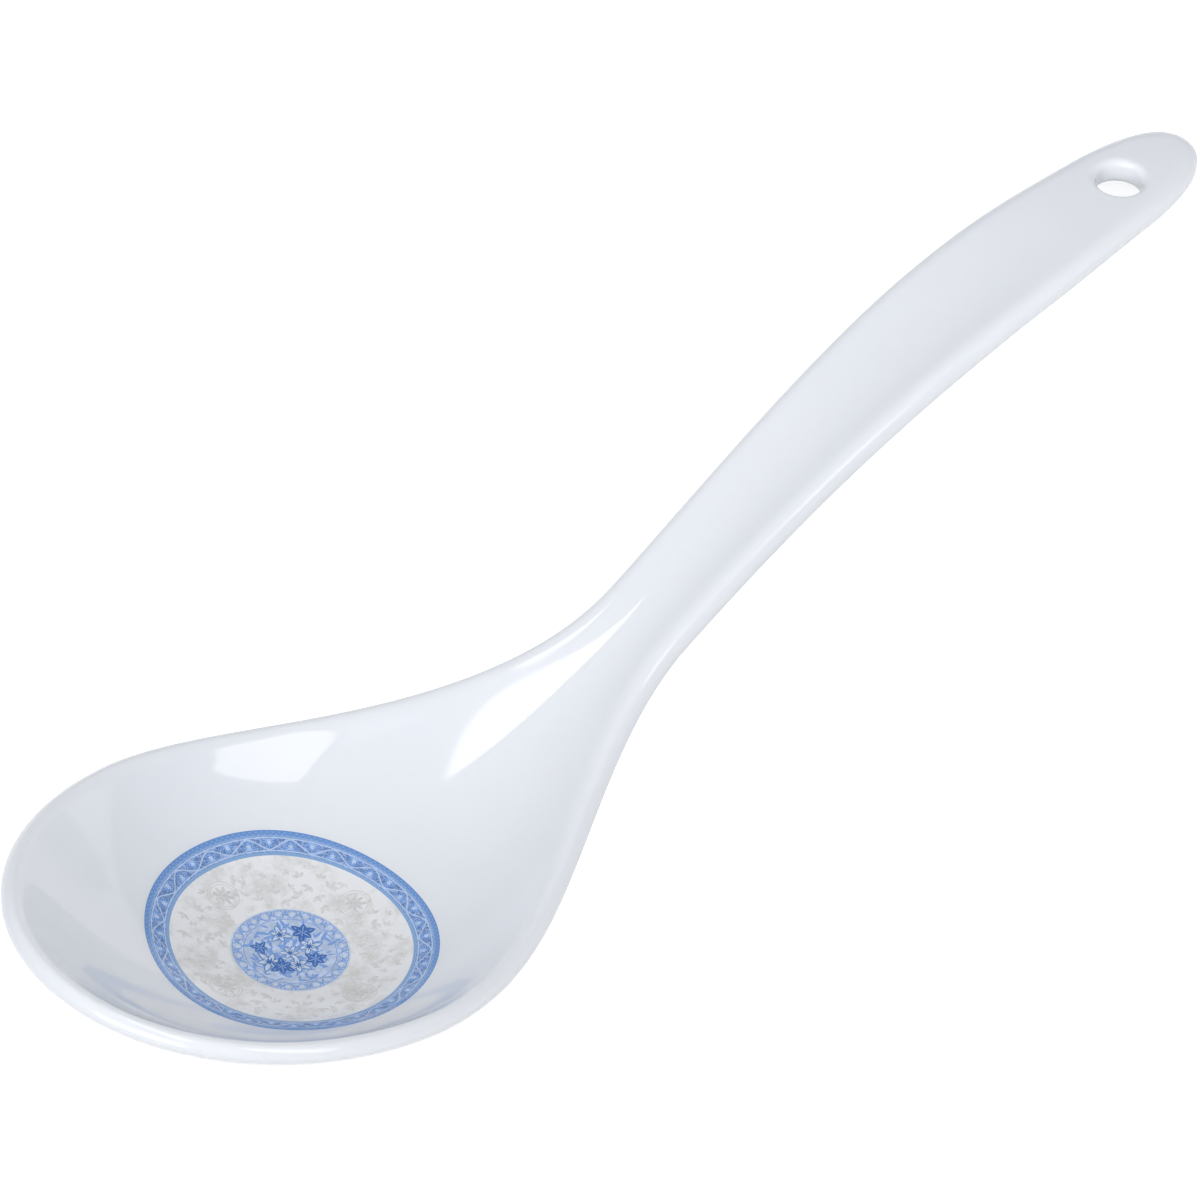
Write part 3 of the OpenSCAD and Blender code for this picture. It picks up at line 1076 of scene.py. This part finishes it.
class Paint:
    """A material in the making, with a principled shader."""

    def __init__(self, name):
        self.material = bpy.data.materials.new(name)
        self.material.use_nodes = True
        self.tree = self.material.node_tree
        self.shader = self.tree.nodes["Principled BSDF"]
        self.shader.inputs["IOR"].default_value = 1.58

    def node(self, kind, inputs=None, **settings):
        return add_node(self.tree, kind, inputs, **settings)

    def object_place(self):
        return self.node("ShaderNodeTexCoord").outputs["Object"]

    def disc_place(self, spoon):
        """Place on the disc in millimetres, level with the bowl's floor."""
        tilt, shift = rest_pose(spoon)
        middle = Matrix.Rotation(tilt, 3, "Y") @ Vector((spoon.print.foil_at, 0, 0))
        mapped = self.node(
            "ShaderNodeMapping",
            {
                "Vector": self.object_place(),
                "Location": middle + shift,
                "Rotation": (0.0, tilt, 0.0),
                "Scale": (MM, MM, MM),
            },
            vector_type="TEXTURE",
        )
        return mapped.outputs[0]

    def noise(self, place, scale, detail=3.0, roughness=0.5):
        made = self.node(
            "ShaderNodeTexNoise",
            {"Vector": place, "Scale": scale, "Detail": detail, "Roughness": roughness},
        )
        return Field(self.tree, made.outputs["Fac"])

    def mix(self, share, low, high):
        """Mixes two colours of three numbers each."""
        made = self.node(
            "ShaderNodeMix",
            {"Factor": share, 6: (*low, 1.0), 7: (*high, 1.0)},
            data_type="RGBA",
        )
        return made.outputs[2]

    def colour(self, value):
        feed(self.tree, value, self.shader.inputs["Base Color"])

    def roughness(self, value):
        feed(self.tree, value, self.shader.inputs["Roughness"])

    def bump(self, height, distance, strength):
        made = self.node(
            "ShaderNodeBump",
            {"Height": height, "Distance": distance, "Strength": strength},
        )
        feed(self.tree, made.outputs[0], self.shader.inputs["Normal"])

    def glaze(self, place):
        """The glaze over the print: faint wear in its gloss and a fine unevenness."""
        wear = self.noise(place, scale=1.1, roughness=0.6)
        self.roughness(wear * 0.06 + 0.04)
        unevenness = self.noise(place, scale=0.35, detail=2.0)
        self.bump(unevenness, distance=0.01 * MM, strength=0.3)


def darker(value, depth):
    return tuple(c * (1 - depth) for c in value)


def lighter(value, depth):
    return tuple(c + (1 - c) * depth for c in value)


def melamine(spoon):
    """Glossy pressed melamine: faintly clouded, with the mould's fine polish lines."""
    paint = Paint("Glazed melamine")
    place = paint.object_place()
    cloud = clamp(paint.noise(place, scale=45.0, detail=2.0) * 2.2 - 0.6)
    paint.colour(paint.mix(cloud, spoon.mould.melamine, spoon.mould.melamine_shade))
    wear = paint.noise(place, scale=900.0, detail=4.0, roughness=0.6)
    paint.roughness(wear * 0.05 + 0.03)
    polish = paint.noise(place, scale=160.0, detail=2.0)
    paint.bump(polish, distance=0.02 * MM, strength=0.35)
    paint.shader.inputs["Subsurface Weight"].default_value = 0.2
    paint.shader.inputs["Subsurface Radius"].default_value = (1.0, 0.95, 0.9)
    paint.shader.inputs["Subsurface Scale"].default_value = 2.0 * MM
    return paint.material


def plain_ink(spoon, name, value):
    """One ink, laid down with a faint grain."""
    paint = Paint(name)
    place = paint.disc_place(spoon)
    grain = clamp(paint.noise(place, scale=1.8) * 2.4 - 0.7)
    paint.colour(paint.mix(grain, value, darker(value, 0.22)))
    paint.glaze(place)
    return paint.material


def polar(paint, place):
    """Radius in millimetres and angle on the disc."""
    made = paint.node("ShaderNodeSeparateXYZ", {0: place})
    x, y, _ = [Field(paint.tree, socket) for socket in made.outputs]
    return work("SQRT", x * x + y * y), work("ARCTAN2", y, x)


KEYS_ROUND = 150
KEY_TINT = (0.55, 0.7, 0.92)


def key_line(spoon, name, value, inner, outer, pale_side):
    """A line of ink with two rows of fine lighter keys, and a paler inner side."""
    paint = Paint(name)
    place = paint.disc_place(spoon)
    radius, angle = polar(paint, place)
    across = (radius - inner / MM) / ((outer - inner) / MM)
    rows = work("SINE", across * FULL_TURN) * work("SINE", angle * KEYS_ROUND)
    middle = clamp(2.2 - work("ABSOLUTE", across - 0.5) * 6)
    grain = paint.noise(place, scale=2.5) * 0.25
    pale = clamp((pale_side - across) * 8) * 0.8
    share = clamp(most(clamp(rows * 3) * middle * 0.45 + grain, pale))
    key = tuple((c + d) / 2 for c, d in zip(value, KEY_TINT))
    paint.colour(paint.mix(share, value, key))
    paint.glaze(place)
    return paint.material


def scrolled_ground(spoon, name, value, scale, depth):
    """A ground of ink filled with small scrolls of a deeper and a lighter tone."""
    paint = Paint(name)
    place = paint.disc_place(spoon)
    cells = paint.node(
        "ShaderNodeTexVoronoi",
        {"Vector": place, "Scale": scale, "Randomness": 0.85},
        feature="SMOOTH_F1",
    )
    rings = work("SINE", Field(paint.tree, cells.outputs["Distance"]) * 14)
    share = clamp(rings * 0.4 + paint.noise(place, scale=1.4) * 0.7)
    paint.colour(paint.mix(share, darker(value, depth), lighter(value, depth * 0.55)))
    paint.glaze(place)
    return paint.material


def mottled_field(spoon):
    """Warm grey clouds with fine speckles, as on old paper."""
    paint = Paint("Mottled field")
    place = paint.disc_place(spoon)
    broad = paint.noise(place, scale=0.27, roughness=0.55)
    fine = paint.noise(place, scale=1.3, detail=4.0, roughness=0.7)
    share = clamp((broad * 0.65 + fine * 0.35 - 0.475) * 6) * 0.95
    paint.colour(paint.mix(share, spoon.print.field_grey, spoon.print.field_mottle))
    paint.glaze(place)
    return paint.material


# Operators


class SPOON_OT_moulding(bpy.types.Operator):
    """Builds the pressed moulding, with its foil pocket and hanging hole"""

    bl_idname = "soup_spoon.moulding"
    bl_label = "Moulding"

    def execute(self, context):
        spoon = context.scene.soup_spoon
        face_group = spoon_face_tree(spoon)
        sheet_group = sheet_tree(spoon, face_group)
        piece = grow("moulding", moulding_tree(spoon, face_group, sheet_group))
        ride_on_spoon(piece, "melamine", "spoon_body")
        return {"FINISHED"}


class SPOON_OT_printed_disc(bpy.types.Operator):
    """Builds the paper foil and the printed areas on it"""

    bl_idname = "soup_spoon.printed_disc"
    bl_label = "Printed disc"

    def execute(self, context):
        spoon = context.scene.soup_spoon
        design = spoon.print
        tree = print_tree(spoon, sheet_tree(spoon, spoon_face_tree(spoon)))
        foil = plain_ink(spoon, "Foil paper", design.field_grey)
        edge = key_line(
            spoon, "Edge line ink", design.edge_blue, design.edge_line_r, design.foil_r,
            pale_side=0.28
        )
        border = scrolled_ground(spoon, "Border ink", design.band_blue, 1.9, 0.46)
        line = key_line(
            spoon, "Inner line ink", design.inner_blue, design.inner_line_r,
            design.border_r, pale_side=0.0
        )
        lace_ink = scrolled_ground(spoon, "Lace ring ink", design.lace_blue, 1.1, 0.25)
        ground = scrolled_ground(spoon, "Medallion ink", design.medallion_blue, 0.6, 0.2)
        areas = (
            ("foil", "foil_paper", "decal_foil", 0.0, design.foil_r, DISC_STEPS, foil),
            ("edge_line", "ink_deep_blue", "edge_line_print", design.edge_line_r,
             design.foil_r, 3, edge),
            ("border", "ink_border_blue", "border_print", design.border_r,
             design.edge_line_r, 5, border),
            ("inner_line", "ink_line_blue", "inner_line_print", design.inner_line_r,
             design.border_r, 2, line),
            ("field", "ink_mottled_grey", "field_print", design.medallion_r,
             design.inner_line_r, 16, mottled_field(spoon)),
            ("lace_ring", "ink_lavender", "medallion_ring_print", design.ring_r,
             design.medallion_r, 4, lace_ink),
            ("medallion", "ink_pale_blue", "medallion_centre_print", 0.0,
             design.ring_r, 12, ground),
        )
        for name, slot, node, inner, outer, steps, ink in areas:
            is_foil = name == "foil"
            top = design.ink_t if is_foil else 0.0
            thickness = design.foil_t if is_foil else design.ink_t
            values = {
                "Inner radius": inner,
                "Outer radius": outer,
                "Top": top,
                "Bottom": top + thickness,
                "Steps across": steps,
                "Ink": ink,
            }
            ride_on_spoon(grow(name, tree, values), slot, node)
        return {"FINISHED"}


class SPOON_OT_ornament(bpy.types.Operator):
    """Builds the vine, the lace, the blossoms and the faint rosettes of the print"""

    bl_idname = "soup_spoon.ornament"
    bl_label = "Ornament"

    def execute(self, context):
        spoon = context.scene.soup_spoon
        design = spoon.print
        face_group = spoon_face_tree(spoon)
        deep = plain_ink(spoon, "Deep blue ink", design.deep_blue)
        line = plain_ink(spoon, "Drawn line ink", design.line_blue)
        thread = plain_ink(spoon, "Lace line ink", design.lace_line)
        leaf = plain_ink(spoon, "Leaf ink", design.leaf_blue)
        pale = plain_ink(spoon, "Pale ink", design.pale_blue)
        light = plain_ink(spoon, "Lightest ink", design.light_blue)
        faint = plain_ink(spoon, "Faint grey ink", design.field_line)
        fainter = plain_ink(spoon, "Fainter grey ink", design.field_leaf)
        ornaments = (
            ("border_vine", "ink_pale_blue", vine, 1.0, pale),
            ("border_shades", "ink_deep_blue", border_shades, 0.7, line),
            ("border_leaves", "ink_border_blue", border_leaves, 0.85, leaf),
            ("border_blossoms", "ink_pale_blue", border_blossoms, 1.2, pale),
            ("lace", "ink_line_blue", lace, 0.9, thread),
            ("lace_blossoms", "ink_pale_blue", lace_lights, 1.1, light),
            ("medallion_stems", "ink_line_blue", medallion_stems, 0.7, thread),
            ("medallion_leaves", "ink_line_blue", medallion_leaves, 0.85, thread),
            ("blossom_rims", "ink_line_blue", blossom_rims, 1.0, line),
            ("blossom_petals", "ink_pale_blue", blossom_petals, 1.15, light),
            ("medallion_blossoms", "ink_deep_blue", medallion_blossoms, 1.3, deep),
            ("blossom_veins", "ink_border_blue", blossom_veins, 1.4, leaf),
            ("field_rosettes", "ink_mottled_grey", field_rosettes, 1.0, faint),
            ("field_sprigs", "ink_mottled_grey", field_sprigs, 0.7, fainter),
        )
        for name, slot, draw, height, ink in ornaments:
            tree = ornament_tree(spoon, face_group, name, draw, height, ink)
            ride_on_spoon(grow(name, tree), slot)
        return {"FINISHED"}


class SPOON_OT_studio(bpy.types.Operator):
    """Sets the table, the soft lights and the camera"""

    bl_idname = "soup_spoon.studio"
    bl_label = "Studio"

    def execute(self, context):
        studio = context.scene.soup_spoon.studio
        set_table()
        set_world(studio)
        set_lights(studio)
        set_camera(studio)
        context.scene.view_settings.view_transform = "Standard"
        return {"FINISHED"}


TABLE_REACH = 3.0
TABLE_GAP = 0.05 * MM
TABLE_GREYS = ((0.65, 0.65, 0.65), (0.67, 0.67, 0.67))
TABLE_GLOW = 0.58
CAMERA_SHARE = 1.17


def set_table():
    """A pale table whose glow is seen but lights nothing."""
    mesh = bpy.data.meshes.new("table")
    signs = ((-1, -1), (1, -1), (1, 1), (-1, 1))
    corners = [(x * TABLE_REACH, y * TABLE_REACH, -TABLE_GAP) for x, y in signs]
    mesh.from_pydata(corners, [], [(0, 1, 2, 3)])
    table = bpy.data.objects.new("table", mesh)
    bpy.context.scene.collection.objects.link(table)
    paint = Paint("Pale table")
    place = paint.object_place()
    paint.colour(paint.mix(paint.noise(place, scale=30.0), *TABLE_GREYS))
    paint.roughness(0.9)
    paint.bump(paint.noise(place, scale=400.0), distance=0.05 * MM, strength=0.2)
    seen = paint.node("ShaderNodeLightPath")
    rays = ("Is Camera Ray", "Is Glossy Ray", "Is Transmission Ray")
    camera, glossy, passing = [Field(paint.tree, seen.outputs[ray]) for ray in rays]
    shown = most(most(camera * CAMERA_SHARE, glossy), passing)
    glow = paint.node(
        "ShaderNodeEmission",
        {"Color": (1.0, 1.0, 1.0, 1.0), "Strength": shown * TABLE_GLOW},
    )
    both = paint.node("ShaderNodeAddShader", {0: paint.shader.outputs[0]})
    paint.tree.links.new(glow.outputs[0], both.inputs[1])
    surface = paint.tree.nodes["Material Output"].inputs["Surface"]
    paint.tree.links.new(both.outputs[0], surface)
    mesh.materials.append(paint.material)


def set_world(studio):
    world = bpy.data.worlds.new("Studio")
    world.use_nodes = True
    back = world.node_tree.nodes["Background"]
    back.inputs["Color"].default_value = (0.94, 0.965, 1.0, 1.0)
    back.inputs["Strength"].default_value = studio.sky
    bpy.context.scene.world = world


def soft_box(name, place, aim, spin, sides, watts, tint, spread=180):
    """A rectangular lamp, unseen by the camera itself. Its angles are in degrees."""
    lamp = bpy.data.lights.new(name, "AREA")
    lamp.shape = "RECTANGLE"
    lamp.size, lamp.size_y = sides
    lamp.energy = watts
    lamp.color = tint
    lamp.spread = math.radians(spread)
    box = bpy.data.objects.new(name, lamp)
    away = (Vector(aim) - Vector(place)).to_track_quat("-Z", "Y").to_matrix()
    turned = away @ Matrix.Rotation(math.radians(spin), 3, "Z")
    box.matrix_world = Matrix.Translation(place) @ turned.to_4x4()
    box.visible_camera = False
    bpy.context.scene.collection.objects.link(box)


WHITE = (1.0, 1.0, 1.0)
WARM = (1.0, 0.985, 0.96)
BROAD = (1.1, 0.8)


def set_lights(studio):
    """Places and sides are in metres. The first two show as the two clear highlights."""
    over_bowl = (-0.068, -0.049)
    spoon = (0.0, 0.0, 0.02)
    boxes = (
        ("side_box", (0.188, -0.514, 0.55), (-0.06, 0.025, 0.013), 7.7, (0.204, 0.354),
         studio.side_power, WARM),
        ("top_box", (*over_bowl, 0.35), (*over_bowl, 0.0), -24.2, (0.06, 0.234),
         studio.top_power, WARM),
        ("front_box", (-0.5, -0.8, 1.15), spoon, 0.0, BROAD, studio.front_power, WHITE),
        ("left_box", (-1.05, -0.4, 1.05), spoon, 0.0, BROAD, studio.left_power, WHITE),
        ("tip_box", (-0.02, -0.18, 0.14), (0.107, 0.0, 0.005), 0.0, (0.06, 0.06),
         studio.tip_power, WARM, 30),
    )
    for box in boxes:
        soft_box(*box)


CAMERA_AIM = Vector((-8.229, 6.2545, 11.8096)) * MM


def set_camera(studio):
    azimuth, elevation = studio.azimuth, studio.elevation
    back = Vector(
        (
            math.sin(azimuth) * math.cos(elevation),
            -math.cos(azimuth) * math.cos(elevation),
            math.sin(elevation),
        )
    )
    level = Vector((math.cos(azimuth), math.sin(azimuth), 0.0))
    upright = back.cross(level)
    right = math.cos(studio.roll) * level + math.sin(studio.roll) * upright
    up = math.cos(studio.roll) * upright - math.sin(studio.roll) * level
    lens = bpy.data.cameras.new("photo_camera")
    lens.lens = studio.lens
    lens.sensor_width = 36.0
    lens.clip_start = 0.01
    camera = bpy.data.objects.new("photo_camera", lens)
    turned = Matrix((right, up, back)).transposed()
    place = CAMERA_AIM + back * studio.distance
    camera.matrix_world = Matrix.Translation(place) @ turned.to_4x4()
    bpy.context.scene.collection.objects.link(camera)
    bpy.context.scene.camera = camera


# Panel and add-on


class SpoonSettings(bpy.types.PropertyGroup):
    """All the settings of the spoon."""

    face: PointerProperty(type=SpoonFaceSizes)
    mould: PointerProperty(type=SpoonMouldingSizes)
    print: PointerProperty(type=SpoonPrintSizes)
    studio: PointerProperty(type=SpoonStudioSizes)


PIECE_OPERATORS = (
    SPOON_OT_moulding,
    SPOON_OT_printed_disc,
    SPOON_OT_ornament,
    SPOON_OT_studio,
)


class SPOON_PT_panel(bpy.types.Panel):
    """Lists the spoon's pieces and its settings"""

    bl_label = "Soup Spoon"
    bl_space_type = "VIEW_3D"
    bl_region_type = "UI"
    bl_category = "Soup Spoon"

    def draw(self, context):
        for operator in PIECE_OPERATORS:
            self.layout.operator(operator.bl_idname)
        spoon = context.scene.soup_spoon
        for group in (spoon.face, spoon.mould, spoon.print, spoon.studio):
            box = self.layout.box()
            for key in group.__annotations__:
                box.prop(group, key)


CLASSES = (
    SpoonFaceSizes,
    SpoonMouldingSizes,
    SpoonPrintSizes,
    SpoonStudioSizes,
    SpoonSettings,
    *PIECE_OPERATORS,
    SPOON_PT_panel,
)


def register():
    for cls in CLASSES:
        bpy.utils.register_class(cls)
    bpy.types.Scene.soup_spoon = PointerProperty(type=SpoonSettings)


def unregister():
    del bpy.types.Scene.soup_spoon
    for cls in reversed(CLASSES):
        bpy.utils.unregister_class(cls)


def main():
    register()
    bpy.ops.soup_spoon.moulding()
    bpy.ops.soup_spoon.printed_disc()
    bpy.ops.soup_spoon.ornament()
    bpy.ops.soup_spoon.studio()


if __name__ == "__main__":
    main()
